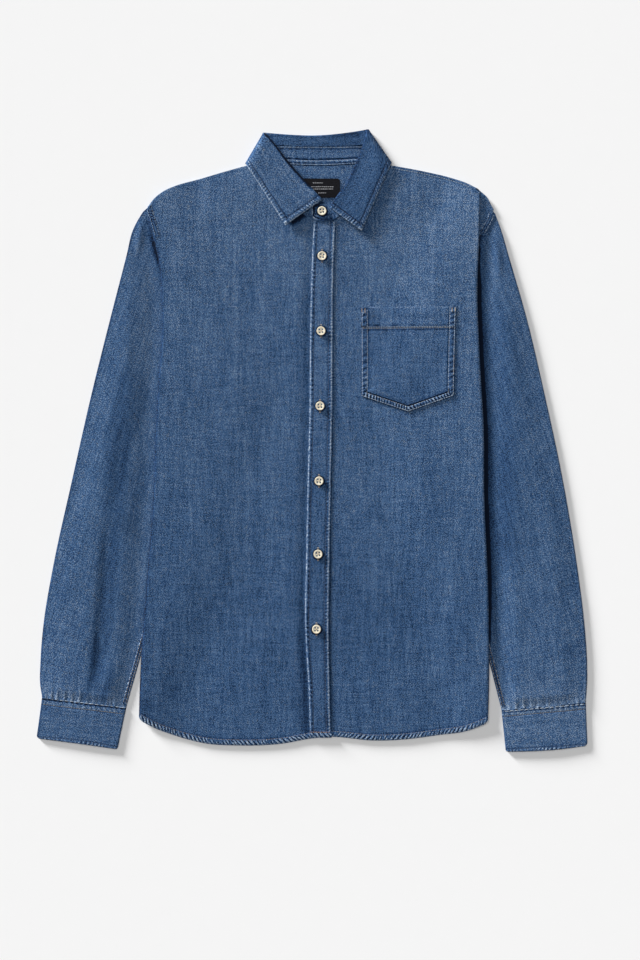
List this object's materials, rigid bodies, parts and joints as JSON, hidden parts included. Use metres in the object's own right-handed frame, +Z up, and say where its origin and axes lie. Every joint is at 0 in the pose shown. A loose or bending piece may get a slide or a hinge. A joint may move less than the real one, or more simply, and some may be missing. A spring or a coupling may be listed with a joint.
{
  "type": "denim shirt",
  "caption": "Long-sleeved denim shirt laid flat and buttoned, with a point collar, button placket, breast patch pocket, barrel cuffs and curved hem.",
  "frame": {"origin": "middle of the bounding box, on the surface that the shirt lies on", "axes": "+Z up from the surface, +Y from the hem to the collar, +X to the wearer's left"},
  "size_m": [0.7163, 0.8083, 0.0097],
  "materials": {
    "denim": "washed mid-blue denim, matt, with vertical slubs",
    "denim_inside": "inner face of the same denim, matt, a little greyer",
    "label_cloth": "black woven label cloth",
    "button": "cream, satin"
  },
  "bodies": {
    "root": {"back": "denim_inside", "yoke": "denim_inside", "front_right": "denim", "front_left": "denim", "placket": "denim", "pocket": "denim", "sleeve_right": "denim", "sleeve_left": "denim", "cuff_right": "denim", "cuff_left": "denim", "stand": "denim_inside", "collar": "denim", "neck_label": "label_cloth", "button_1": "button", "button_2": "button", "button_3": "button", "button_4": "button", "button_5": "button", "button_6": "button", "button_7": "button"}
  },
  "joints": []
}
